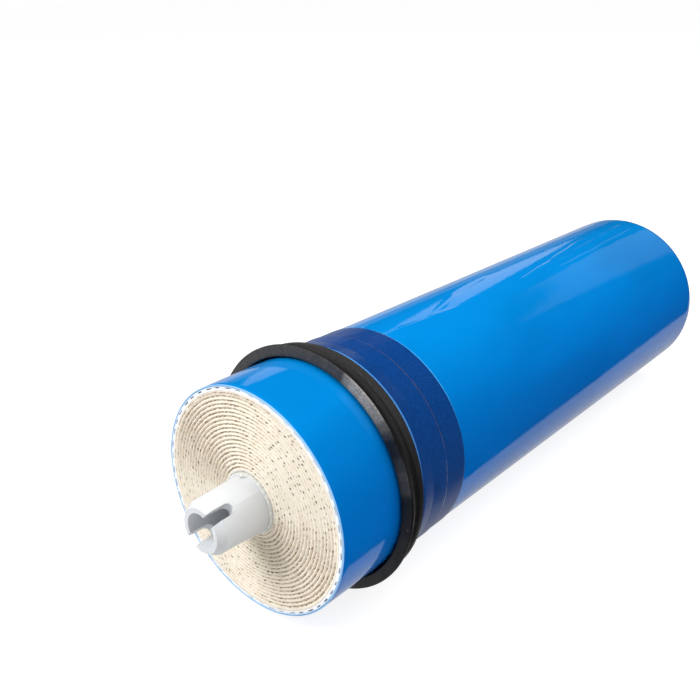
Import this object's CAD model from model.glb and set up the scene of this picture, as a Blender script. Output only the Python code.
import math

import bmesh
import bpy
from bpy.props import FloatProperty, FloatVectorProperty, IntProperty, PointerProperty
from mathutils import Matrix, Vector, noise


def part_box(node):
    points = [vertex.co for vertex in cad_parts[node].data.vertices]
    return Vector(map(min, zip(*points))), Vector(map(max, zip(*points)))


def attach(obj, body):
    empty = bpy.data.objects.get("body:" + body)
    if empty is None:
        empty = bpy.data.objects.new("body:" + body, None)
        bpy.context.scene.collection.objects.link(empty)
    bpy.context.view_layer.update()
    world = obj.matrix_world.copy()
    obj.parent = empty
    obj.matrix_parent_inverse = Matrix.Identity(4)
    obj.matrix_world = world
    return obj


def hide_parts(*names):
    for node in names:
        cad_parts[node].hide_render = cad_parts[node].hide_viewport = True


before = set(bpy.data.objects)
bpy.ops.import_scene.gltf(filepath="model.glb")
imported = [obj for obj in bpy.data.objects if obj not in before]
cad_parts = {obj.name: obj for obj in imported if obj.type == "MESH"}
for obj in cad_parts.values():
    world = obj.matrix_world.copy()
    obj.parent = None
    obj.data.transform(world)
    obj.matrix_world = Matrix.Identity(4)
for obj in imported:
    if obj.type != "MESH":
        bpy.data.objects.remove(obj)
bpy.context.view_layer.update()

bl_info = {
    "name": "Membrane element",
    "version": (1, 0, 0),
    "blender": (4, 5, 0),
    "location": "3D View > Sidebar > Membrane",
    "description": "Dresses a spiral-wound membrane element and sets up a small studio round it",
    "category": "Object",
}

# Metres, in the row frame: Y runs along the element from the slotted feed end, Z is up.
# A station is a place along Y. An angle is measured about the element's axis, from +X towards +Z.
MM = 0.001


def reach(node):
    """Front station, rear station and outer radius of a piece that is round about the axis."""
    low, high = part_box(node)
    return low.y, high.y, (high.x - low.x) / 2


FEED_FACE, PRODUCT_FACE, WRAP_RADIUS = reach("film_wrap")
AXIS_HEIGHT = (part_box("film_wrap")[0].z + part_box("film_wrap")[1].z) / 2
NET_RADIUS = reach("outer_net")[2]
ROLL_RADIUS = reach("membrane_roll")[2]
CARRIER_FRONT, CARRIER_REAR, CARRIER_RADIUS = reach("carrier_wrap")
TIP, SPIGOT_TIP, TUBE_RADIUS = reach("core_tube")
LIP_FRONT, SKIRT_EDGE, LIP_RADIUS = reach("brine_seal")
SEAL_TAPE_FRONT, SEAL_TAPE_REAR, SEAL_TAPE_RADIUS = reach("seal_tape")
WRAP_TAPE_FRONT, WRAP_TAPE_REAR, WRAP_TAPE_RADIUS = reach("wrap_tape")

# glue or clearance between a piece and what it sits on
GLUE_GAP = 0.05 * MM
# the leaf edges stand apart most at this angle and opposite it
DEEP_VALLEYS = math.radians(125)
# the rear of the seal's ridge and the front edge of its tape lie further back about one angle
SLIP = 1.4 * MM
SLIP_MIDDLE = math.radians(52)


# ---------------------------------------------------------------- sizes and colours

def length(name, description, default):
    return FloatProperty(name=name, description=description, default=default, unit="LENGTH", precision=5)


def paint(name, description, default):
    return FloatVectorProperty(name=name, description=description, default=default, size=3,
                               subtype="COLOR", min=0, max=1)


class MembraneSizes(bpy.types.PropertyGroup):
    leaf_pitch: length("Leaf pitch", "Radial growth of one turn of the leaves", 1.27 * MM)
    leaf_start: length("Leaf start", "Radius at which the spiral of leaves starts", 10.4 * MM)
    leaf_turns: IntProperty(name="Leaf turns", description="Turns between the first ridge and the last",
                            default=20, min=2)
    leaf_relief: length("Leaf relief", "Depth of the valleys between leaf edges", 0.72 * MM)
    pore_spacing: length("Pore spacing", "Distance between spacer pores along a turn", 2.3 * MM)
    net_wall: length("Net wall", "Thickness of the outer net turn", 1.4 * MM)
    net_openings: IntProperty(name="Net openings", description="Openings round each cut end of the net",
                              default=48, min=3)
    film_wall: length("Film wall", "Thickness of the film wrap", 0.3 * MM)
    film_wave: length("Film wave", "Height of the soft unevenness of the wound film", 0.06 * MM)
    film_lap: length("Film lap", "Step where the last turn of film ends", 0.1 * MM)
    lip_height: length("Lip height", "Front face of the seal's lip, on the radius", 3.7 * MM)
    lip_lean: length("Lip lean", "How far that face's inner edge stands forward of its rim", 0.4 * MM)
    lip_land: length("Lip land", "Width of the lip's rim", 0.9 * MM)
    lip_slope: length("Lip slope", "Length of the lip's back, from its rim to the groove", 4.5 * MM)
    lip_round: length("Lip rounding", "Edge rounding of the seal", 0.35 * MM)
    throat_depth: length("Throat depth", "Depth of the gap between the lip and the wrap", 3.2 * MM)
    groove_radius: length("Groove radius", "Bottom of the groove behind the lip", 40.1 * MM)
    ridge_lean: length("Ridge lean", "Length of the rear ridge's front wall", 0.5 * MM)
    ridge_radius: length("Ridge radius", "Top of the seal's rear ridge", 41.2 * MM)
    skirt_thickness: length("Skirt thickness", "Seal skirt under the tape", 1.1 * MM)
    skirt_length: length("Skirt length", "Level part of the skirt", 3.4 * MM)
    skirt_edge: length("Skirt edge", "Thickness of the skirt's rear edge", 0.3 * MM)
    tape_thickness: length("Tape thickness", "One turn of tape", 0.2 * MM)
    tape_bridge: length("Tape bridge", "How far behind the skirt the tape comes down", 1.2 * MM)
    edge_round: length("Edge rounding", "Edge rounding of the moulded tube", 0.3 * MM)


class MembraneColours(bpy.types.PropertyGroup):
    film: paint("Film", "Glossy wrap film", (0.0, 0.225, 0.63))
    film_low: paint("Film, low", "Deeper blue low on the film's sides", (0.0, 0.165, 0.60))
    film_edge: paint("Film edge", "Cut edge of the film", (0.30, 0.56, 0.88))
    film_line: paint("Film line", "Film stretched along the rear edge of the wrap tape", (0.07, 0.45, 0.95))
    tape: paint("Tape", "Dark tape", (0.0, 0.040, 0.19))
    seal: paint("Seal", "Black rubber", (0.007, 0.007, 0.008))
    bloom: paint("Seal bloom", "Grey sheen on the front of the seal's lip", (0.44, 0.415, 0.39))
    speck: paint("Speck", "Pale specks on the rubber", (0.6, 0.6, 0.6))
    leaf: paint("Leaf edges", "Cream leaf edges", (0.86, 0.795, 0.69))
    leaf_shade: paint("Leaf valleys", "Brown in the valleys between leaves", (0.40, 0.27, 0.15))
    pore: paint("Pores", "Dark spacer pores between the leaves", (0.12, 0.075, 0.04))
    net: paint("Net", "White spacer net", (0.88, 0.90, 0.92))
    net_tint: paint("Net, tinted", "Outermost layers of the net's cut end", (0.30, 0.45, 0.68))
    net_inside: paint("Net, inside", "Shade in the openings between strands", (0.16, 0.25, 0.40))
    tube: paint("Tube", "Pale grey moulded tube", (0.67, 0.69, 0.71))
    carrier: paint("Carrier", "Grey carrier cloth and glue", (0.58, 0.585, 0.56))
    thread: paint("Thread", "White edge of the carrier cloth", (0.85, 0.87, 0.88))
    seam: paint("Tape seam", "Residue along the tape's rear edge", (0.10, 0.075, 0.075))
    seam_low: paint("Tape seam, low", "The same residue low on the side", (0.30, 0.33, 0.40))
    tape_edge: paint("Tape edge", "Stretched, paler tape at its front edge", (0.07, 0.27, 0.68))


# ---------------------------------------------------------------- meshes

def on_axis(station, radius, angle):
    """A point given by station, radius and angle, in the row frame."""
    return Vector((radius * math.cos(angle), station, AXIS_HEIGHT + radius * math.sin(angle)))


def smooth_step(low, high, value):
    share = min(max((value - low) / (high - low), 0.0), 1.0)
    return share * share * (3 - 2 * share)


def rounded(corners, steps=4):
    """Round the corners of a closed outline; a corner is station, radius and, if it has one, rounding."""
    outline = []
    count = len(corners)
    for index, corner in enumerate(corners):
        here = Vector(corner[:2])
        size = corner[2] if len(corner) > 2 else 0
        if not size:
            outline.append(tuple(here))
            continue
        back = (Vector(corners[index - 1][:2]) - here).normalized()
        ahead = (Vector(corners[(index + 1) % count][:2]) - here).normalized()
        half = back.angle(ahead) / 2
        middle = here + (back + ahead).normalized() * size / math.sin(half)
        first = here + back * size / math.tan(half) - middle
        last = here + ahead * size / math.tan(half) - middle
        for step in range(steps + 1):
            share = step / steps
            swing = first.lerp(last, share)
            outline.append(tuple(middle + swing.normalized() * size))
    return outline


def spread(outline, spacing):
    """Add points to the outline so that no stretch of it is longer than the spacing."""
    points = []
    for index, point in enumerate(outline):
        start = Vector(point)
        end = Vector(outline[(index + 1) % len(outline)])
        pieces = max(1, math.ceil((end - start).length / spacing))
        points += [tuple(start.lerp(end, step / pieces)) for step in range(pieces)]
    return points


def slip(angle):
    """How far back the rear of the seal's ridge and the front of its tape lie at this angle."""
    away = (angle - SLIP_MIDDLE + math.pi) % (2 * math.pi) - math.pi
    return SLIP * (0.5 + 0.5 * math.cos(min(max(3 * away, -math.pi), math.pi)))


def even_angles(count):
    return [2 * math.pi * step / count for step in range(count)]


def turned_mesh(name, outline, angles, shape=None):
    """Turn a closed outline about the axis; shape(station, radius, angle) may move each vertex."""
    vertices = []
    for angle in angles:
        for station, radius in outline:
            moved = shape(station, radius, angle) if shape else (station, radius)
            vertices.append(on_axis(moved[0], moved[1], angle))
    count = len(outline)
    faces = []
    for turn in range(len(angles)):
        here = turn * count
        there = (turn + 1) % len(angles) * count
        for step in range(count):
            after = (step + 1) % count
            faces.append((here + step, here + after, there + after, there + step))
    mesh = bpy.data.meshes.new(name)
    mesh.from_pydata(vertices, [], faces)
    return mesh


def crease_edges(mesh, degrees=38):
    """Point the faces outwards and shade them smooth, apart from edges sharper than this."""
    work = bmesh.new()
    work.from_mesh(mesh)
    bmesh.ops.recalc_face_normals(work, faces=work.faces)
    for face in work.faces:
        face.smooth = True
    for edge in work.edges:
        edge.smooth = not edge.is_manifold or edge.calc_face_angle(0) < math.radians(degrees)
    work.to_mesh(mesh)
    work.free()


def add_piece(name, mesh, material, slot, *nodes):
    """Show a mesh as a piece that stands for these CAD nodes."""
    crease_edges(mesh)
    mesh.materials.append(material)
    piece = bpy.data.objects.new(name, mesh)
    bpy.context.scene.collection.objects.link(piece)
    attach(piece, "root")
    if nodes:
        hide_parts(*nodes)
    return piece


# ---------------------------------------------------------------- materials

class Finish:
    """A material being made: each call adds one node and returns its output."""

    def __init__(self, name, roughness, specular=0.5):
        self.material = bpy.data.materials.new(name)
        self.material.use_nodes = True
        self.tree = self.material.node_tree
        self.shader = self.tree.nodes["Principled BSDF"]
        self.shader.inputs["Roughness"].default_value = roughness
        self.shader.inputs["Specular IOR Level"].default_value = specular

    def add(self, kind, **settings):
        node = self.tree.nodes.new(kind)
        for name, value in settings.items():
            setattr(node, name, value)
        return node

    def feed(self, socket, value):
        if isinstance(value, bpy.types.NodeSocket):
            self.tree.links.new(value, socket)
        else:
            socket.default_value = value

    def place(self, stretch=(1, 1, 1)):
        """Coordinates in the row frame, in millimetres, stretched along each axis."""
        coordinates = self.add("ShaderNodeTexCoord").outputs["Object"]
        mapping = self.add("ShaderNodeMapping")
        mapping.inputs["Location"].default_value = (0, 0, -AXIS_HEIGHT / MM * stretch[2])
        mapping.inputs["Scale"].default_value = [share / MM for share in stretch]
        self.tree.links.new(coordinates, mapping.inputs["Vector"])
        return mapping.outputs["Vector"]

    def grain(self, size, detail=2, stretch=(1, 1, 1), roughness=0.5):
        """Noise whose lumps are about this many millimetres across."""
        node = self.add("ShaderNodeTexNoise")
        self.tree.links.new(self.place(stretch), node.inputs["Vector"])
        node.inputs["Scale"].default_value = 1 / size
        node.inputs["Detail"].default_value = detail
        node.inputs["Roughness"].default_value = roughness
        return node.outputs["Fac"]

    def streaks(self, size, detail=2):
        """Noise that only changes round the axis; its lumps are this wide at the wrap."""
        split = self.add("ShaderNodeSeparateXYZ")
        self.tree.links.new(self.place(), split.inputs["Vector"])
        flat = self.add("ShaderNodeCombineXYZ")
        self.feed(flat.inputs["X"], split.outputs["X"])
        self.feed(flat.inputs["Z"], split.outputs["Z"])
        unit = self.add("ShaderNodeVectorMath", operation="NORMALIZE")
        self.tree.links.new(flat.outputs["Vector"], unit.inputs[0])
        node = self.add("ShaderNodeTexNoise")
        self.tree.links.new(unit.outputs["Vector"], node.inputs["Vector"])
        node.inputs["Scale"].default_value = WRAP_RADIUS / MM / size
        node.inputs["Detail"].default_value = detail
        return node.outputs["Fac"]

    def sum(self, operation, first, second=0.0, third=0.0, clamp=False):
        node = self.add("ShaderNodeMath", operation=operation, use_clamp=clamp)
        for socket, value in zip(node.inputs, (first, second, third)):
            self.feed(socket, value)
        return node.outputs["Value"]

    def fade(self, value, low, high, start=0.0, end=1.0):
        """A smooth step of the value from start, at low, to end, at high."""
        node = self.add("ShaderNodeMapRange", interpolation_type="SMOOTHSTEP")
        for socket, entry in zip(("Value", "From Min", "From Max", "To Min", "To Max"),
                                 (value, low, high, start, end)):
            self.feed(node.inputs[socket], entry)
        return node.outputs["Result"]

    def blend(self, share, first, second):
        """A colour between two, by share."""
        node = self.add("ShaderNodeMix", data_type="RGBA")
        self.feed(node.inputs[0], share)
        for socket, value in ((node.inputs[6], first), (node.inputs[7], second)):
            self.feed(socket, value if isinstance(value, bpy.types.NodeSocket) else (*value, 1))
        return node.outputs[2]

    def polar(self):
        """Radius in millimetres, angle and station in millimetres of the shaded point."""
        split = self.add("ShaderNodeSeparateXYZ")
        self.tree.links.new(self.place(), split.inputs["Vector"])
        squares = [self.sum("MULTIPLY", split.outputs[axis], split.outputs[axis]) for axis in "XZ"]
        radius = self.sum("SQRT", self.sum("ADD", *squares))
        angle = self.sum("ARCTAN2", split.outputs["Z"], split.outputs["X"])
        return radius, angle, split.outputs["Y"]

    def colour(self, value):
        self.feed(self.shader.inputs["Base Color"], value if isinstance(value, bpy.types.NodeSocket)
                  else (*value, 1))

    def rough(self, value):
        self.feed(self.shader.inputs["Roughness"], value)

    def near(self, value, middle, half, soft=0.5):
        """One within half of the middle, fading to nothing over the soft share beyond it."""
        away = self.sum("ABSOLUTE", self.sum("SUBTRACT", value, middle))
        return self.fade(away, half, half * (1 + soft), 1, 0)

    def bump(self, height, depth, edge_round=0.0):
        """Raise the surface by this height pattern; depth and edge rounding in millimetres."""
        node = self.add("ShaderNodeBump")
        if edge_round:
            bevel = self.add("ShaderNodeBevel", samples=6)
            bevel.inputs["Radius"].default_value = edge_round * MM
            self.tree.links.new(bevel.outputs["Normal"], node.inputs["Normal"])
        node.inputs["Distance"].default_value = depth * MM
        self.tree.links.new(height, node.inputs["Height"])
        self.tree.links.new(node.outputs["Normal"], self.shader.inputs["Normal"])


def film_finish(colours):
    """Glossy blue film, deeper low on its sides, paler where it meets the wrap tape."""
    finish = Finish("wrap_film", 0.06, 0.42)
    _, angle, station = finish.polar()
    side = finish.sum("ABSOLUTE", finish.sum("SUBTRACT", angle, math.pi / 2))
    shade = finish.blend(finish.fade(side, 0.3, 1.6), colours.film, colours.film_low)
    cloud = finish.fade(finish.grain(26, 2, (1, 0.35, 1)), 0.35, 0.65, 0, 0.12)
    shade = finish.blend(cloud, shade, (0, 0, 0))
    line = finish.near(station, WRAP_TAPE_REAR / MM + 0.3, 0.16)
    upper = finish.fade(angle, math.radians(15), math.radians(45))
    shade = finish.blend(finish.sum("MULTIPLY", finish.sum("MULTIPLY", line, upper), 0.8), shade,
                         colours.film_line)
    cut = finish.sum("MINIMUM", finish.sum("SUBTRACT", station, FEED_FACE / MM),
                     finish.sum("SUBTRACT", PRODUCT_FACE / MM, station))
    shade = finish.blend(finish.fade(cut, 0.12, 0.3, 1, 0), shade, colours.film_edge)
    finish.colour(shade)
    finish.rough(finish.fade(finish.grain(14, 2), 0.3, 0.7, 0.04, 0.09))
    peel = finish.sum("ADD", finish.grain(1.1, 2), finish.sum("MULTIPLY", finish.grain(0.35, 1), 0.25))
    finish.bump(peel, 0.02)
    return finish.material


def tape_slip(finish, angle):
    """How far back the front edge of the seal tape lies at an angle, in millimetres."""
    away = finish.sum("MULTIPLY", finish.sum("SUBTRACT", angle, SLIP_MIDDLE), 3)
    away = finish.sum("MINIMUM", finish.sum("MAXIMUM", away, -math.pi), math.pi)
    wave = finish.sum("MULTIPLY_ADD", finish.sum("COSINE", away), 0.5, 0.5)
    return finish.sum("MULTIPLY", wave, SLIP / MM)


def tape_finish(colours):
    """Dark tape with a fine grain, a seam of residue at its rear edge and a pale front edge."""
    finish = Finish("tape_film", 0.3, 0.25)
    speck = finish.grain(0.45, 3, roughness=0.7)
    light = [min(1, share * 1.45 + 0.003) for share in colours.tape]
    dark = [share * 0.7 for share in colours.tape]
    shade = finish.blend(finish.fade(speck, 0.3, 0.7), dark, light)
    _, angle, station = finish.polar()
    wobble = finish.sum("MULTIPLY", finish.sum("SUBTRACT", finish.grain(9, 3), 0.5), 0.7)
    line = finish.sum("ADD", station, wobble)
    patchy = finish.fade(finish.grain(4, 3), 0.3, 0.6)
    seam = finish.near(line, SEAL_TAPE_REAR / MM, 0.20)
    pale_seam = finish.fade(angle, math.radians(-5), math.radians(25), 1, 0)
    shade = finish.blend(finish.sum("MULTIPLY", seam, finish.sum("MULTIPLY", patchy, 0.9)), shade,
                         finish.blend(pale_seam, colours.seam, colours.seam_low))
    behind_ridge = finish.fade(angle, math.radians(50), math.radians(95), 2.15, 3.0)
    edge = finish.sum("ADD", behind_ridge, SEAL_TAPE_FRONT / MM)
    edge = finish.sum("ADD", edge, tape_slip(finish, angle))
    front = finish.fade(finish.sum("SUBTRACT", station, edge), -0.05, 0.1, 1, 0)
    upper = finish.fade(angle, math.radians(-5), math.radians(40), 0, 1)
    shade = finish.blend(finish.sum("MULTIPLY", front, upper), shade, colours.tape_edge)
    finish.colour(shade)
    finish.bump(finish.grain(0.6, 3), 0.03)
    return finish.material


def rubber_finish(name, colours):
    """Black rubber with fine pits."""
    finish = Finish(name, 0.42, 0.35)
    pits = finish.grain(0.55, 4, roughness=0.75)
    light = [share * 3 + 0.004 for share in colours.seal]
    shade = finish.blend(finish.fade(pits, 0.45, 0.75), colours.seal, light)
    finish.colour(shade)
    finish.bump(pits, 0.03)
    return finish, shade, pits


def seal_finish(colours):
    """The seal's rubber: porous, with white specks and a streaky grey bloom on the lip's front face."""
    finish, shade, pits = rubber_finish("seal_rubber", colours)
    radius, angle, station = finish.polar()
    on_face = finish.fade(station, LIP_FRONT / MM + 0.55, LIP_FRONT / MM + 0.85, 1, 0)
    streak = finish.fade(finish.streaks(2.2, 3), 0.3, 0.7, 0.65, 1.1)
    wander = finish.sum("MULTIPLY", finish.sum("SUBTRACT", finish.streaks(9), 0.5), 0.35)
    turned = finish.sum("ADD", angle, wander)
    bright = finish.sum("MULTIPLY", finish.fade(turned, math.radians(34), math.radians(54)),
                        finish.fade(turned, math.radians(60), math.radians(70), 1, 0))
    second = finish.near(turned, math.radians(17), math.radians(5), 1)
    upper = finish.fade(turned, math.radians(48), math.radians(68))
    share = finish.sum("MAXIMUM", finish.sum("MULTIPLY", upper, 0.13),
                       finish.sum("MULTIPLY", second, 0.10))
    share = finish.sum("MAXIMUM", share, bright)
    inner = finish.fade(radius, LIP_RADIUS / MM - 3.2, LIP_RADIUS / MM - 2.6, 0.75, 1)
    pitted = finish.fade(pits, 0.42, 0.6, 0.55, 1)
    share = finish.sum("MULTIPLY", finish.sum("MULTIPLY", share, streak),
                       finish.sum("MULTIPLY", inner, pitted))
    behind = finish.fade(station, LIP_FRONT / MM + 2.2, LIP_FRONT / MM + 3.6)
    behind = finish.sum("MULTIPLY", behind, finish.fade(angle, math.radians(5), math.radians(50), 0.3, 1))
    shade = finish.blend(finish.sum("MULTIPLY", behind, 0.05), shade, colours.bloom)
    shade = finish.blend(finish.sum("MULTIPLY", share, on_face), shade, colours.bloom)
    specks = finish.fade(finish.grain(0.8, 1), 0.80, 0.86)
    finish.colour(finish.blend(specks, shade, colours.speck))
    finish.rough(finish.fade(finish.grain(4, 2), 0.3, 0.7, 0.34, 0.5))
    finish.bump(pits, 0.08)
    return finish.material


def tube_finish(sizes, colours):
    finish = Finish("tube_plastic", 0.5, 0.35)
    shade = [share * 0.95 for share in colours.tube]
    finish.colour(finish.blend(finish.fade(finish.grain(6, 2), 0.3, 0.7), colours.tube, shade))
    finish.bump(finish.grain(0.8, 2), 0.008, sizes.edge_round / MM)
    return finish.material


def carrier_finish(colours):
    """Grey glue-soaked cloth with a white inner edge on its upper side."""
    finish = Finish("carrier_cloth", 0.6, 0.3)
    radius, angle, _ = finish.polar()
    pale = [min(1, share * 1.35) for share in colours.carrier]
    shade = finish.blend(finish.fade(finish.grain(0.7, 3), 0.35, 0.65), colours.carrier, pale)
    inner = finish.fade(radius, TUBE_RADIUS / MM + 0.15, TUBE_RADIUS / MM + 0.3, 1, 0)
    upper = finish.near(angle, math.radians(95), math.radians(35))
    finish.colour(finish.blend(finish.sum("MULTIPLY", inner, upper), shade, colours.thread))
    finish.bump(finish.grain(0.5, 2), 0.06)
    return finish.material


# half length and half width of a spacer pore, in millimetres
PORE_LENGTH = 0.42
PORE_WIDTH = 0.19


def leaf_finish(sizes, colours):
    """Cream leaf edges, brown in the valleys between turns, with a row of dark pores in each valley."""
    finish = Finish("leaf_edges", 0.75, 0.2)
    radius, angle, _ = finish.polar()
    pitch = sizes.leaf_pitch / MM
    turn = finish.sum("DIVIDE", finish.sum("SUBTRACT", radius, sizes.leaf_start / MM), pitch)
    turn = finish.sum("SUBTRACT", turn, finish.sum("DIVIDE", angle, 2 * math.pi))
    waver = finish.sum("MULTIPLY", finish.sum("SUBTRACT", finish.grain(2.2, 2), 0.5), 0.35)
    turn = finish.sum("ADD", turn, waver)
    phase = finish.sum("FRACT", turn)
    number = finish.sum("FLOOR", turn)
    off_valley = finish.sum("ABSOLUTE", finish.sum("SUBTRACT", phase, 0.5))
    valley = finish.fade(off_valley, 0.06, 0.26, 1, 0)
    deep = finish.sum("ABSOLUTE", finish.sum("COSINE", finish.sum("SUBTRACT", angle, DEEP_VALLEYS)))
    deep = finish.fade(deep, 0.35, 0.95, 0.3, 1)
    patchy = finish.fade(finish.grain(1.0, 3), 0.38, 0.62, 0.15, 1)
    cream = finish.blend(finish.fade(finish.grain(3.5, 3), 0.3, 0.7), colours.leaf,
                         [share * factor for share, factor in zip(colours.leaf, (0.94, 0.92, 0.88))])
    shade = finish.blend(finish.sum("MULTIPLY", valley, finish.sum("MULTIPLY", patchy, deep)), cream,
                         colours.leaf_shade)
    along = finish.sum("DIVIDE", finish.sum("MULTIPLY", angle, radius), sizes.pore_spacing / MM)
    along = finish.sum("ADD", along, finish.sum("MULTIPLY", number, 0.618))
    cell = finish.add("ShaderNodeTexWhiteNoise", noise_dimensions="2D")
    place = finish.add("ShaderNodeCombineXYZ")
    finish.feed(place.inputs["X"], finish.sum("FLOOR", along))
    finish.feed(place.inputs["Y"], number)
    finish.feed(cell.inputs["Vector"], place.outputs["Vector"])
    pick = finish.add("ShaderNodeSeparateColor")
    finish.feed(pick.inputs["Color"], cell.outputs["Color"])
    shift = finish.sum("MULTIPLY", finish.sum("SUBTRACT", pick.outputs["Red"], 0.5), 0.5)
    step = finish.sum("SUBTRACT", finish.sum("SUBTRACT", finish.sum("FRACT", along), 0.5), shift)
    side = finish.sum("MULTIPLY", finish.sum("SUBTRACT", pick.outputs["Green"], 0.5), 0.35)
    across = finish.sum("SUBTRACT", finish.sum("SUBTRACT", phase, 0.5), side)
    spans = [finish.sum("MULTIPLY", step, sizes.pore_spacing / MM / PORE_LENGTH),
             finish.sum("MULTIPLY", across, pitch / PORE_WIDTH)]
    spans = [finish.sum("POWER", finish.sum("ABSOLUTE", span), 2) for span in spans]
    pore = finish.fade(finish.sum("ADD", *spans), 0.35, 1.3, 1, 0)
    present = finish.fade(pick.outputs["Blue"], 0.15, 0.8)
    on_face = finish.fade(radius, ROLL_RADIUS / MM - 0.6, ROLL_RADIUS / MM - 0.1, 1, 0)
    pore = finish.sum("MULTIPLY", finish.sum("MULTIPLY", pore, present), on_face)
    upper_left = finish.sum("COSINE", finish.sum("SUBTRACT", angle, math.radians(128)))
    glue_width = finish.fade(upper_left, -0.2, 1, 0.1, 0.9)
    glue = finish.sum("SUBTRACT", finish.sum("SUBTRACT", radius, CARRIER_RADIUS / MM), glue_width)
    glue = finish.fade(finish.sum("ADD", glue, finish.sum("MULTIPLY", waver, 2)), -0.2, 0.2, 0.75, 0)
    shade = finish.blend(glue, shade, colours.carrier)
    finish.colour(finish.blend(finish.sum("MULTIPLY", pore, 0.92), shade, colours.pore))
    fibre = finish.sum("ADD", finish.grain(0.45, 3), finish.sum("MULTIPLY", pore, -0.8))
    finish.bump(fibre, 0.12)
    return finish.material


def net_finish(colours):
    """White strands whose outermost layers at the cut end are tinted by the film."""
    finish = Finish("net_plastic", 0.5)
    radius, _, station = finish.polar()
    rings = finish.sum("FRACT", finish.sum("DIVIDE", radius, 0.42))
    line = finish.fade(finish.sum("ABSOLUTE", finish.sum("SUBTRACT", rings, 0.5)), 0.1, 0.3, 1, 0)
    outer = finish.fade(radius, NET_RADIUS / MM - 0.6, NET_RADIUS / MM - 0.25)
    patchy = finish.fade(finish.grain(5, 2), 0.4, 0.6)
    tint = finish.sum("MULTIPLY", finish.sum("MULTIPLY", line, outer), patchy)
    middle = (FEED_FACE + PRODUCT_FACE) / 2 / MM
    reach_out = (PRODUCT_FACE - FEED_FACE) / 2 / MM
    from_middle = finish.sum("ABSOLUTE", finish.sum("SUBTRACT", station, middle))
    inside = finish.fade(from_middle, reach_out - 0.6, reach_out - 0.2, 1, 0)
    shade = finish.blend(tint, colours.net, colours.net_tint)
    shade = finish.blend(finish.fade(radius, NET_RADIUS / MM - 0.3, NET_RADIUS / MM - 0.15), shade,
                         colours.film_edge)
    finish.colour(finish.blend(inside, shade, colours.net_inside))
    finish.bump(finish.grain(0.5, 2), 0.03)
    return finish.material


# ---------------------------------------------------------------- the wound roll

def leaf_surface(sizes, face, inward):
    """Station of the leaf edges at a turn count and phase, for the end face whose inside lies this way."""
    def station(turn, place, ease):
        ripple = noise.noise(place / (1.6 * MM))
        swell = noise.noise(place / (5 * MM))
        ridge = 0.5 - 0.5 * math.cos(2 * math.pi * turn)
        across = Vector((place.x, place.z - AXIS_HEIGHT)).normalized()
        deep = abs(across.dot(Vector((math.cos(DEEP_VALLEYS), math.sin(DEEP_VALLEYS)))))
        ridge *= 0.5 + 0.5 * smooth_step(0.35, 0.95, deep)
        depth = sizes.leaf_relief * (0.9 * ridge + 0.22 * ripple * (0.3 + ridge) + 0.12 * swell)
        return face + inward * max(depth * ease, 0.0)
    return station


def wound_end(name, sizes, face, middle, columns, samples):
    """Half of the roll: one end face with the leaves' spiral relief, closed at the middle of the roll.

    Ring number q of the end face is itself a spiral, so a ring meets the ring one turn further out
    where the angle wraps round. The flats inside the first turn and outside the last close the step."""
    inward = 1 if middle > face else -1
    surface = leaf_surface(sizes, face, inward)
    rings = (sizes.leaf_turns - 1) * samples
    step = sizes.leaf_pitch / samples
    vertices = []

    def ring_radius(ring, column):
        return sizes.leaf_start + step * (ring + samples * column / columns)

    def ring_vertex(ring, column):
        radius = ring_radius(ring, column)
        angle = 2 * math.pi * column / columns
        flat = on_axis(face, radius, angle)
        start = smooth_step(0, 0.04, column / columns) if ring < samples else 1
        end = smooth_step(0, 0.04, 1 - column / columns) if ring > rings - samples else 1
        edge = 0 if ring in (0, rings) else 1
        wander = 0.10 * MM * noise.noise(flat / (2.4 * MM) + Vector((0, 5, 0))) * start * end * edge
        height = surface(ring / samples, flat, start * end * edge)
        return on_axis(height, radius + wander, angle)

    for column in range(columns):
        vertices += [ring_vertex(ring, column) for ring in range(rings + 1)]
    tail = len(vertices)
    vertices += [on_axis(face, ring_radius(rings + extra, 0), 0) for extra in range(1, samples + 1)]
    bore = CARRIER_RADIUS + 0.1 * MM
    circles = {}
    for label, radius, station in (("bore", bore, face), ("rim", ROLL_RADIUS, face),
                                   ("bore_middle", bore, middle), ("rim_middle", ROLL_RADIUS, middle)):
        circles[label] = len(vertices)
        vertices += [on_axis(station, radius, 2 * math.pi * column / columns) for column in range(columns)]

    def at(ring, column):
        """Index of a ring's vertex; past the last column it is the ring one turn further out."""
        if column == columns:
            ring += samples
            column = 0
        return column * (rings + 1) + ring if ring <= rings else tail + ring - rings - 1

    faces = []
    for column in range(columns):
        after = (column + 1) % columns
        for ring in range(rings):
            faces.append((at(ring, column), at(ring + 1, column),
                          at(ring + 1, column + 1), at(ring, column + 1)))
        inner = [circles["bore"] + column, at(0, column)]
        outer = [at(rings, column + 1), circles["rim"] + after, circles["rim"] + column, at(rings, column)]
        if column == columns - 1:
            inner += [at(0, columns)] + [at(ring, 0) for ring in range(samples - 1, -1, -1)]
        else:
            inner.append(at(0, column + 1))
        inner.append(circles["bore"] + after)
        if column == 0:
            outer = [outer[-1], *outer[:-1], *range(tail + samples - 1, tail - 1, -1)]
        faces.append(tuple(inner))
        faces.append(tuple(outer))
        for near, far in (("bore", "bore_middle"), ("rim", "rim_middle"), ("bore_middle", "rim_middle")):
            faces.append((circles[near] + column, circles[near] + after, circles[far] + after,
                          circles[far] + column))
    mesh = bpy.data.meshes.new(name)
    mesh.from_pydata(vertices, [], faces)
    return mesh


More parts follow.
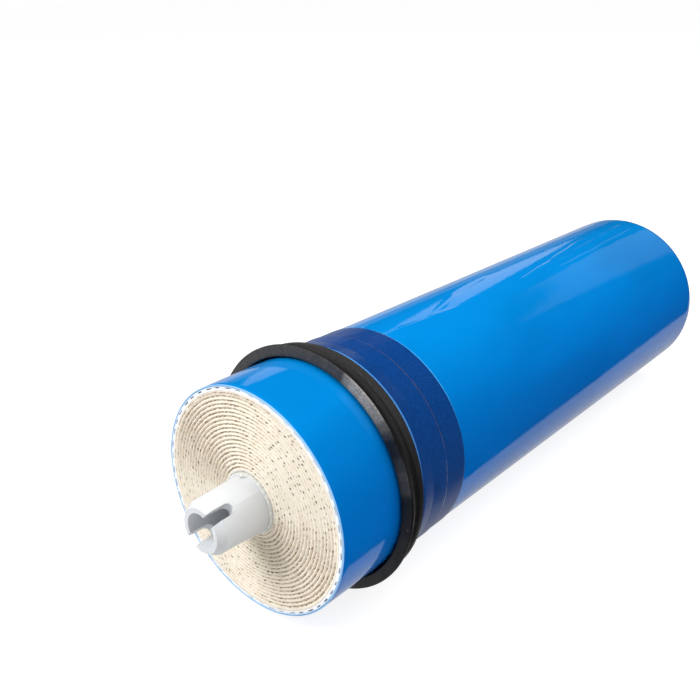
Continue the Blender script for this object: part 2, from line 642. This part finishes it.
class MEMBRANE_OT_leaf_roll(bpy.types.Operator):
    """Wind the leaves: cream spiral edges at both ends of the roll"""
    bl_idname = "membrane.leaf_roll"
    bl_label = "Leaf roll"

    def execute(self, context):
        sizes = context.scene.membrane_sizes
        material = leaf_finish(sizes, context.scene.membrane_colours)
        middle = (FEED_FACE + PRODUCT_FACE) / 2
        feed = wound_end("leaf_roll_feed_half", sizes, FEED_FACE, middle, 540, 8)
        product = wound_end("leaf_roll_product_half", sizes, PRODUCT_FACE, middle, 300, 5)
        add_piece("leaf_roll_feed_half", feed, material, "leaf_edges", "membrane_roll")
        add_piece("leaf_roll_product_half", product, material, "leaf_edges", "membrane_roll")
        return {"FINISHED"}


class MEMBRANE_OT_outer_net(bpy.types.Operator):
    """Wrap the outer turn of spacer net, open between its strands at both cut ends"""
    bl_idname = "membrane.outer_net"
    bl_label = "Outer net"

    def execute(self, context):
        sizes = context.scene.membrane_sizes
        bore = NET_RADIUS - sizes.net_wall
        middle = bore + sizes.net_wall * 0.55
        depth = 0.9 * MM

        def strands(station, radius, angle):
            near_end = min(station - FEED_FACE, PRODUCT_FACE - station)
            if near_end > 0.5 * MM:
                return station, radius
            cell = angle / (2 * math.pi) * sizes.net_openings
            number = math.floor(cell)
            wander = noise.noise(Vector((number * 1.7, station * 9, 3)))
            along = abs(cell - number - 0.5 - 0.2 * wander)
            size = 0.23 + 0.09 * noise.noise(Vector((number * 2.3, 7, station * 9)))
            opening = 1 - smooth_step(size * 0.75, size * 1.2, along)
            across = 1 - smooth_step(0.10 * MM, 0.24 * MM, abs(radius - middle - 0.12 * MM * wander))
            sag = 0.12 * MM * noise.noise(on_axis(0, radius, angle) / (4 * MM))
            into = depth * opening * across + max(sag, 0)
            return station + (into if station < 0 else -into), radius

        ends = [bore + sizes.net_wall * step / 18 for step in range(19)]
        outline = [(FEED_FACE, radius) for radius in ends]
        outline += [(PRODUCT_FACE, radius) for radius in reversed(ends)]
        mesh = turned_mesh("outer_net", outline, even_angles(960), strands)
        add_piece("outer_net", mesh, net_finish(context.scene.membrane_colours), "net_plastic", "outer_net")
        return {"FINISHED"}


# ---------------------------------------------------------------- the film wrap

# Tension creases of the film: stations and angles of both ends in millimetres and degrees, half width
# and height in millimetres. They meet in long V shapes on the upper side, towards the product end.
CREASES = [
    (-2, 76, 92, 92, 0.7, 0.13),
    (8, 78, 124, 87, 0.8, 0.18),
    (28, 75, 124, 80, 0.7, 0.14),
    (60, 83, 124, 90, 0.6, -0.13),
    (40, 72, 110, 74, 0.6, 0.08),
    (-66, 84, -30, 80, 0.9, 0.14),
    (-48, 81, -20, 92, 1.2, 0.17),
    (-24, 90, 6, 97, 1.1, -0.13),
]


def crease_height(station, angle):
    """Height that the tension creases add to the film at one place."""
    total = 0
    for start, start_angle, end, end_angle, width, height in CREASES:
        share = (station / MM - start) / (end - start)
        if not 0 < share < 1:
            continue
        line = math.radians(start_angle + (end_angle - start_angle) * share)
        line += math.radians(1.2) * noise.noise(Vector((station / (16 * MM), start_angle, 0)))
        away = (angle - line) * WRAP_RADIUS / MM / width
        fade = smooth_step(0, 0.25, share) * smooth_step(0, 0.12, 1 - share)
        total += height * MM * fade * math.exp(-away * away)
    return total


class MEMBRANE_OT_film_wrap(bpy.types.Operator):
    """Wrap the glossy film: softly uneven, with tension creases and the lap of its last turn"""
    bl_idname = "membrane.film_wrap"
    bl_label = "Film wrap"

    def execute(self, context):
        sizes = context.scene.membrane_sizes
        bore = WRAP_RADIUS - sizes.film_wall
        lap = math.radians(215)

        def uneven(station, radius, angle):
            if radius < bore + sizes.film_wall / 2:
                return station, radius
            place = on_axis(station, radius, angle)
            stretched = Vector((place.x, place.y * 0.3, place.z))
            wave = noise.noise(stretched / (17 * MM))
            wave += 0.35 * noise.noise(place / (7 * MM) + Vector((9, 0, 0)))
            past_lap = (angle - lap) % (2 * math.pi)
            wound = sizes.film_lap * past_lap / (2 * math.pi)
            wound *= smooth_step(0, math.radians(1.5), 2 * math.pi - past_lap)
            near_end = min(station - FEED_FACE, PRODUCT_FACE - station)
            calm = smooth_step(0, 4 * MM, near_end)
            edge = 0.12 * MM * noise.noise(place / (9 * MM)) * (1 - smooth_step(0, 1 * MM, near_end))
            radius += sizes.film_wave * wave * calm + wound * calm + crease_height(station, angle)
            return station + edge, radius

        fine = [math.radians(60 + step * 0.25) for step in range(200)]
        coarse = [math.radians(110 + step * 310 / 344) for step in range(344)]
        shell = rounded([(FEED_FACE, bore), (FEED_FACE, WRAP_RADIUS, 0.12 * MM),
                         (PRODUCT_FACE, WRAP_RADIUS, 0.12 * MM), (PRODUCT_FACE, bore)], 2)
        # the bore needs no points between its ends
        outline = [point for point in spread(shell, 2.2 * MM)
                   if point[1] > bore + 0.1 * MM or point[0] in (FEED_FACE, PRODUCT_FACE)]
        mesh = turned_mesh("film_wrap", outline, fine + coarse, uneven)
        add_piece("film_wrap", mesh, film_finish(context.scene.membrane_colours), "wrap_film", "film_wrap")
        return {"FINISHED"}


# ---------------------------------------------------------------- seal, tapes and rings

class MEMBRANE_OT_brine_seal(bpy.types.Operator):
    """Fit the black rubber seal: flared lip, groove, rear ridge and skirt"""
    bl_idname = "membrane.brine_seal"
    bl_label = "Brine seal"

    def execute(self, context):
        sizes = context.scene.membrane_sizes
        seat = WRAP_RADIUS + GLUE_GAP
        lip = LIP_FRONT + sizes.lip_lean
        groove = lip + sizes.lip_land + sizes.lip_slope
        soft = sizes.lip_round
        skirt = SEAL_TAPE_FRONT - GLUE_GAP
        corners = [
            (LIP_FRONT, LIP_RADIUS - sizes.lip_height, soft),
            (lip, LIP_RADIUS, soft),
            (lip + sizes.lip_land, LIP_RADIUS, soft),
            (groove, sizes.groove_radius, soft),
            (groove + sizes.ridge_lean, sizes.ridge_radius, soft),
            (skirt, sizes.ridge_radius, soft),
            (skirt, seat + sizes.skirt_thickness, 0.2 * MM),
            (skirt + sizes.skirt_length, seat + sizes.skirt_thickness),
            (SKIRT_EDGE, seat + sizes.skirt_edge),
            (SKIRT_EDGE, seat),
            (LIP_FRONT + sizes.throat_depth, seat, 0.4 * MM),
        ]

        def supple(station, radius, angle):
            lift = smooth_step(WRAP_RADIUS + 1.5 * MM, LIP_RADIUS, radius)
            sway = noise.noise(Vector((math.cos(angle), math.sin(angle), 2)) * 1.4)
            rear = smooth_step(skirt - 1.2 * MM, skirt - 0.4 * MM, station)
            rear *= 1 - smooth_step(skirt + 0.2 * MM, skirt + sizes.skirt_length, station)
            return station + 0.35 * MM * lift * sway + rear * slip(angle), radius

        outline = spread(rounded(corners, 5), 1.0 * MM)
        mesh = turned_mesh("brine_seal", outline, even_angles(512), supple)
        material = seal_finish(context.scene.membrane_colours)
        add_piece("brine_seal", mesh, material, "seal_rubber", "brine_seal")
        return {"FINISHED"}


class MEMBRANE_OT_tapes(bpy.types.Operator):
    """Wind both dark tapes: one over the seal's skirt, one on the film"""
    bl_idname = "membrane.tapes"
    bl_label = "Tapes"

    def execute(self, context):
        sizes = context.scene.membrane_sizes
        seat = WRAP_RADIUS + GLUE_GAP
        wall = sizes.tape_thickness
        over = SEAL_TAPE_RADIUS

        def puckered(station, radius, angle):
            place = on_axis(station, radius, angle)
            top = math.exp(-((angle - math.radians(100)) / math.radians(28)) ** 2)
            fold = noise.noise(Vector((place.x * 0.8, place.y * 0.35, place.z * 0.8)) / (2.2 * MM))
            drift = 0.15 * MM * noise.noise(Vector((math.cos(angle), math.sin(angle), station * 40)) * 3)
            from_front = station - SEAL_TAPE_FRONT
            drift += slip(angle) * (1 - smooth_step(0.3 * MM, 3.3 * MM, from_front))
            return station + drift, radius + MM * (0.02 + 0.09 * top) * max(fold, -0.2)

        level = SEAL_TAPE_FRONT - GLUE_GAP + sizes.skirt_length
        landing = SKIRT_EDGE + GLUE_GAP + sizes.tape_bridge
        tape_top = WRAP_TAPE_RADIUS + GLUE_GAP + wall
        seal_tape = rounded([
            (SEAL_TAPE_FRONT, over - wall), (SEAL_TAPE_FRONT, over, 0.08 * MM), (level, over, 0.6 * MM),
            (landing, tape_top, 1.5 * MM), (SEAL_TAPE_REAR, tape_top, 0.08 * MM),
            (SEAL_TAPE_REAR, tape_top - wall), (WRAP_TAPE_FRONT, tape_top - wall),
            (WRAP_TAPE_FRONT - GLUE_GAP, seat), (SKIRT_EDGE + GLUE_GAP, seat),
            (SKIRT_EDGE + GLUE_GAP, seat + sizes.skirt_edge + GLUE_GAP), (level, over - wall)], 3)
        wrap_tape = rounded([
            (WRAP_TAPE_FRONT, seat), (WRAP_TAPE_FRONT, WRAP_TAPE_RADIUS),
            (WRAP_TAPE_REAR, WRAP_TAPE_RADIUS, 0.08 * MM), (WRAP_TAPE_REAR, seat)], 3)
        material = tape_finish(context.scene.membrane_colours)
        for name, outline in (("seal_tape", seal_tape), ("wrap_tape", wrap_tape)):
            mesh = turned_mesh(name, spread(outline, 0.9 * MM), even_angles(640), puckered)
            add_piece(name, mesh, material, "tape_film", name)
        return {"FINISHED"}


class MEMBRANE_OT_o_rings(bpy.types.Operator):
    """Set the two O-rings into the glands of the spigot"""
    bl_idname = "membrane.o_rings"
    bl_label = "O-rings"

    def execute(self, context):
        material = rubber_finish("ring_rubber", context.scene.membrane_colours)[0].material
        for name in ("outer_o_ring", "inner_o_ring"):
            front, rear, radius = reach(name)
            cord = (rear - front) / 2
            outline = [((front + rear) / 2 + cord * math.cos(angle), radius - cord + cord * math.sin(angle))
                       for angle in even_angles(28)]
            add_piece(name, turned_mesh(name, outline, even_angles(120)), material, "ring_rubber", name)
        return {"FINISHED"}


# ---------------------------------------------------------------- the core tube

class MEMBRANE_OT_core_tube(bpy.types.Operator):
    """Mould the pale tube with its slotted stub and grooved spigot"""
    bl_idname = "membrane.core_tube"
    bl_label = "Core tube"

    def execute(self, context):
        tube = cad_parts["core_tube"]
        tube.data.materials.clear()
        scene = context.scene
        tube.data.materials.append(tube_finish(scene.membrane_sizes, scene.membrane_colours))
        return {"FINISHED"}


class MEMBRANE_OT_carrier_wrap(bpy.types.Operator):
    """Roll the first turn of carrier cloth on the tube, set in glue"""
    bl_idname = "membrane.carrier_wrap"
    bl_label = "Carrier wrap"

    def execute(self, context):
        bore = TUBE_RADIUS + GLUE_GAP

        def frayed(station, radius, angle):
            if min(station - CARRIER_FRONT, CARRIER_REAR - station) > 0.6 * MM:
                return station, radius
            side = -1 if station < 0 else 1
            place = Vector((math.cos(angle), math.sin(angle), side))
            proud = 0.25 * noise.noise(place * 2) + 0.08 * noise.noise(place * 9)
            kink = 1.3 * math.exp(-((angle - math.radians(98)) / math.radians(5)) ** 2) if side < 0 else 0
            return station + side * MM * (proud + kink), radius + 0.08 * MM * noise.noise(place * 5)

        outline = rounded([(CARRIER_FRONT, bore), (CARRIER_FRONT, CARRIER_RADIUS, 0.25 * MM),
                           (CARRIER_REAR, CARRIER_RADIUS, 0.25 * MM), (CARRIER_REAR, bore)], 3)
        mesh = turned_mesh("carrier_wrap", outline, even_angles(240), frayed)
        material = carrier_finish(context.scene.membrane_colours)
        add_piece("carrier_wrap", mesh, material, "carrier_cloth", "carrier_wrap")
        return {"FINISHED"}


# ---------------------------------------------------------------- the stage

def plain_sheet(name, corners, material):
    mesh = bpy.data.meshes.new(name)
    mesh.from_pydata(corners, [], [tuple(range(len(corners)))])
    mesh.materials.append(material)
    piece = bpy.data.objects.new(name, mesh)
    bpy.context.scene.collection.objects.link(piece)
    return piece


def glow(name, level):
    """A plain glowing material, for surfaces that are only seen in reflections."""
    material = bpy.data.materials.new(name)
    material.use_nodes = True
    tree = material.node_tree
    tree.nodes.remove(tree.nodes["Principled BSDF"])
    emission = tree.nodes.new("ShaderNodeEmission")
    emission.inputs["Color"].default_value = (level, level, level, 1)
    tree.links.new(emission.outputs["Emission"], tree.nodes["Material Output"].inputs["Surface"])
    return material


def show_white_background(tree):
    """One for the rays that should see a plain white background: camera, glossy and transmission."""
    path = tree.nodes.new("ShaderNodeLightPath")
    share = path.outputs["Is Camera Ray"]
    for name in ("Is Glossy Ray", "Is Transmission Ray"):
        larger = tree.nodes.new("ShaderNodeMath")
        larger.operation = "MAXIMUM"
        tree.links.new(share, larger.inputs[0])
        tree.links.new(path.outputs[name], larger.inputs[1])
        share = larger.outputs["Value"]
    return share


def floor_material():
    """White floor that keeps the shadow and is lifted to white where a camera or a reflection sees it."""
    material = bpy.data.materials.new("studio_floor")
    material.use_nodes = True
    tree = material.node_tree
    shader = tree.nodes["Principled BSDF"]
    seen = show_white_background(tree)
    tone = tree.nodes.new("ShaderNodeMix")
    tone.data_type = "RGBA"
    tone.inputs[6].default_value = (0.6, 0.6, 0.6, 1)
    tone.inputs[7].default_value = (0.3, 0.3, 0.3, 1)
    tree.links.new(seen, tone.inputs[0])
    tree.links.new(tone.outputs[2], shader.inputs["Base Color"])
    shader.inputs["Roughness"].default_value = 0.9
    shader.inputs["Specular IOR Level"].default_value = 0.0
    shader.inputs["Emission Color"].default_value = (1, 1, 1, 1)
    lift = tree.nodes.new("ShaderNodeMath")
    lift.operation = "MULTIPLY"
    lift.inputs[1].default_value = 0.86
    tree.links.new(seen, lift.inputs[0])
    tree.links.new(lift.outputs["Value"], shader.inputs["Emission Strength"])
    return material


def light_world(level):
    world = bpy.data.worlds.new("studio_air")
    bpy.context.scene.world = world
    world.use_nodes = True
    tree = world.node_tree
    background = tree.nodes["Background"]
    background.inputs["Color"].default_value = (1, 1, 1, 1)
    strength = tree.nodes.new("ShaderNodeMapRange")
    strength.inputs["To Min"].default_value = level
    strength.inputs["To Max"].default_value = 1
    tree.links.new(show_white_background(tree), strength.inputs["Value"])
    tree.links.new(strength.outputs["Result"], background.inputs["Strength"])


# What dark cloth and the pale floor strip give to reflections
CLOTH_GLOW = 0.012
STRIP_GLOW = 0.55
# Where the camera stands and looks, and its lens in millimetres
CAMERA_PLACE = (0.1665, -0.2755, 0.1869)
CAMERA_RIGHT = Vector((0.7564, 0.6541, 0))
CAMERA_FORWARD = Vector((-0.6015, 0.6956, -0.3928))
CAMERA_LENS = 43.6

# Windows of the dark studio tent, as the directions in which reflections see them: from and to
# azimuth, from +Y towards +X, from and to height above the floor, all in degrees, and brightness.
TENT_WINDOWS = [
    (-60, -21, 0, 9, 0.2),
    (-36, -27, 12, 30, 0.7),
    (-54, -45, 9, 24, 0.6),
    (-9, 15, 15, 33, 0.25),
    (-180, -138, 0, 27, 1.6),
]


def window_number(azimuth, height):
    """Which window a direction falls in, counted from one, or nought for the dark cloth."""
    for number, (left, right, low, high, level) in enumerate(TENT_WINDOWS, start=1):
        if left < azimuth < right and low < height < high:
            return number
    return 0


def studio_tent(radius, step):
    """A dark dome with openings, which shapes what the glossy film reflects."""
    vertices = []
    faces = []
    looks = []
    for low in range(0, 90, step):
        for left in range(-180, 180, step):
            corners = [(left, low), (left + step, low), (left + step, low + step), (left, low + step)]
            for turn, rise in corners:
                across = radius * math.cos(math.radians(rise))
                vertices.append((across * math.sin(math.radians(turn)),
                                 across * math.cos(math.radians(turn)),
                                 radius * math.sin(math.radians(rise))))
            faces.append(tuple(range(len(vertices) - 4, len(vertices))))
            looks.append(window_number(left + step / 2, low + step / 2))
    mesh = bpy.data.meshes.new("studio_tent")
    mesh.from_pydata(vertices, [], faces)
    mesh.materials.append(glow("tent_cloth", CLOTH_GLOW))
    for window in TENT_WINDOWS:
        mesh.materials.append(glow("tent_window", window[-1]))
    for face, look in zip(mesh.polygons, looks):
        face.material_index = look
    tent = bpy.data.objects.new("studio_tent", mesh)
    bpy.context.scene.collection.objects.link(tent)
    return tent


def only_in_reflections(piece):
    piece.visible_camera = False
    piece.visible_diffuse = False
    piece.visible_shadow = False
    piece.visible_transmission = False


def add_lamp(name, place, aim, size, power):
    light = bpy.data.lights.new(name, "AREA")
    light.shape = "DISK"
    light.size = size
    light.energy = power
    lamp = bpy.data.objects.new(name, light)
    bpy.context.scene.collection.objects.link(lamp)
    lamp.location = place
    lamp.rotation_euler = (aim - Vector(place)).to_track_quat("-Z", "Y").to_euler()
    lamp.visible_glossy = False
    return lamp


class MEMBRANE_OT_stage(bpy.types.Operator):
    """Set up the studio: white floor, dark reflection tent, soft lamps and camera"""
    bl_idname = "membrane.stage"
    bl_label = "Stage"

    def execute(self, context):
        scene = context.scene
        scene.view_settings.view_transform = "Standard"
        # the floor touches the seal's lip and the product end of the wrap
        slope = (AXIS_HEIGHT - WRAP_RADIUS) / (PRODUCT_FACE - LIP_FRONT)
        half = 6.0
        floor = [(side * half, end * half, (end * half - LIP_FRONT) * slope)
                 for side, end in ((-1, -1), (1, -1), (1, 1), (-1, 1))]
        plain_sheet("studio_floor", floor, floor_material())
        # in reflections the floor is a pale strip along the element, with dark cloth beyond it
        strip = [(0.045, -0.20), (0.072, 0.26)]
        cloth = [strip[0], (0.9, -4.0), (4.0, -4.0), (4.0, 4.0), (-0.6, 4.0), strip[1]]
        pale = [(-4.0, -4.0), (0.9, -4.0), strip[0], strip[1], (-0.6, 4.0), (-4.0, 4.0)]
        for name, outline, level in (("floor_cloth", cloth, CLOTH_GLOW), ("floor_strip", pale, STRIP_GLOW)):
            corners = [(x, y, (y - LIP_FRONT) * slope + 0.3 * MM) for x, y in outline]
            only_in_reflections(plain_sheet(name, corners, glow(name, level)))
        only_in_reflections(studio_tent(3.0, 3))
        light_world(0.42)
        aim = Vector((0, -0.02, AXIS_HEIGHT))
        add_lamp("key_lamp", (-0.45, -0.85, 0.85), aim, 0.8, 13)
        add_lamp("body_lamp", (0.45, 0.1, 1.15), aim, 0.9, 10)
        camera = bpy.data.objects.new("camera", bpy.data.cameras.new("camera"))
        scene.collection.objects.link(camera)
        camera.data.sensor_width = 36
        camera.data.lens = CAMERA_LENS
        camera.data.clip_start = 0.01
        right = CAMERA_RIGHT.normalized()
        forward = CAMERA_FORWARD.normalized()
        up = right.cross(forward)
        turn = Matrix((right, up, -forward)).transposed().to_4x4()
        camera.matrix_world = Matrix.Translation(CAMERA_PLACE) @ turn
        scene.camera = camera
        return {"FINISHED"}


# ---------------------------------------------------------------- panel and start

PIECES = (MEMBRANE_OT_core_tube, MEMBRANE_OT_carrier_wrap, MEMBRANE_OT_leaf_roll, MEMBRANE_OT_outer_net,
          MEMBRANE_OT_film_wrap, MEMBRANE_OT_brine_seal, MEMBRANE_OT_tapes, MEMBRANE_OT_o_rings,
          MEMBRANE_OT_stage)


class MEMBRANE_PT_pieces(bpy.types.Panel):
    """Lists the pieces of the membrane element and its stage"""
    bl_label = "Membrane element"
    bl_idname = "MEMBRANE_PT_pieces"
    bl_space_type = "VIEW_3D"
    bl_region_type = "UI"
    bl_category = "Membrane"

    def draw(self, context):
        for piece in PIECES:
            self.layout.operator(piece.bl_idname)


CLASSES = (MembraneSizes, MembraneColours, *PIECES, MEMBRANE_PT_pieces)


def register():
    for item in CLASSES:
        bpy.utils.register_class(item)
    bpy.types.Scene.membrane_sizes = PointerProperty(type=MembraneSizes)
    bpy.types.Scene.membrane_colours = PointerProperty(type=MembraneColours)


def unregister():
    del bpy.types.Scene.membrane_colours
    del bpy.types.Scene.membrane_sizes
    for item in reversed(CLASSES):
        bpy.utils.unregister_class(item)


def main():
    register()
    bpy.ops.membrane.core_tube()
    bpy.ops.membrane.carrier_wrap()
    bpy.ops.membrane.leaf_roll()
    bpy.ops.membrane.outer_net()
    bpy.ops.membrane.film_wrap()
    bpy.ops.membrane.brine_seal()
    bpy.ops.membrane.tapes()
    bpy.ops.membrane.o_rings()
    bpy.ops.membrane.stage()


if __name__ == "__main__":
    main()
